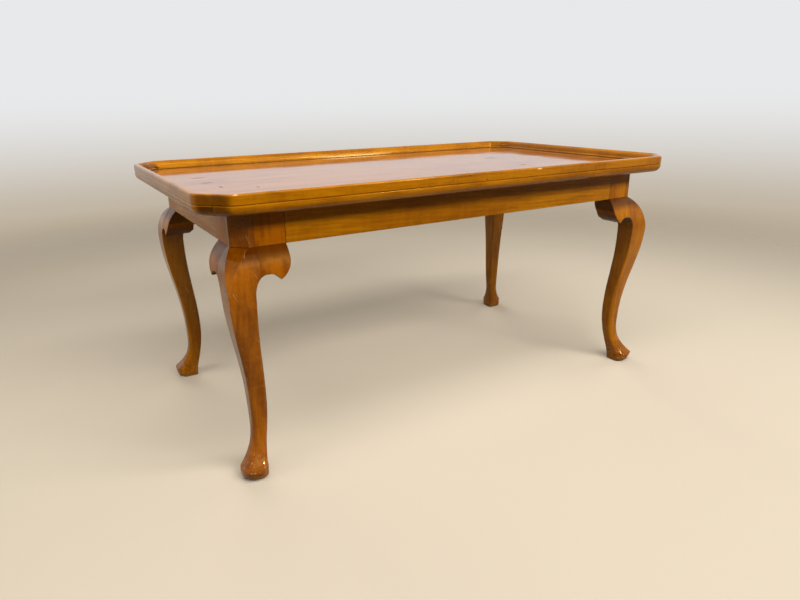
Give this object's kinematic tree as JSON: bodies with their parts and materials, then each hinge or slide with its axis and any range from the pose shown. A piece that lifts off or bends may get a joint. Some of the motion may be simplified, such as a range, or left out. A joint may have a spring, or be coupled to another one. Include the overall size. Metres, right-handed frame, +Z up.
{
  "type": "coffee table",
  "caption": "Tray-topped wooden coffee table: flat panel inside a raised moulded rim with canted corners, plain aprons, and cabriole legs with ears on small flared feet.",
  "frame": {"origin": "on the floor under the middle of the table", "axes": "+X along the length, to the right of someone facing the front; +Y to the back; +Z up"},
  "size_m": [1.05, 0.6, 0.5],
  "materials": {
    "panel": "clear gloss lacquer on reddish-brown veneer",
    "edging": "clear gloss lacquer on honey-brown wood",
    "rim": "clear gloss lacquer on honey-brown wood, edges worn pale",
    "apron": "clear gloss lacquer on honey-brown wood",
    "leg": "clear gloss lacquer on honey-brown wood, feet scuffed",
    "ear": "clear gloss lacquer on honey-brown wood",
    "block": "bare sawn wood",
    "dowel": "bare turned wood",
    "screw": "plain steel"
  },
  "bodies": {
    "root": {"top_panel": "panel", "edge_rail_front": "edging", "rim_front": "rim", "apron_front": "apron", "edge_rail_right": "edging", "rim_right": "rim", "apron_right": "apron", "edge_rail_back": "edging", "rim_back": "rim", "apron_back": "apron", "edge_rail_left": "edging", "rim_left": "rim", "apron_left": "apron", "leg_front_left": "leg", "ear_front_left_long": "ear", "ear_front_left_short": "ear", "corner_block_front_left": "block", "leg_front_right": "leg", "ear_front_right_long": "ear", "ear_front_right_short": "ear", "corner_block_front_right": "block", "leg_back_right": "leg", "ear_back_right_long": "ear", "ear_back_right_short": "ear", "corner_block_back_right": "block", "leg_back_left": "leg", "ear_back_left_long": "ear", "ear_back_left_short": "ear", "corner_block_back_left": "block", "apron_dowels": "dowel", "top_screws": "screw", "corner_block_screws": "screw"}
  },
  "joints": []
}
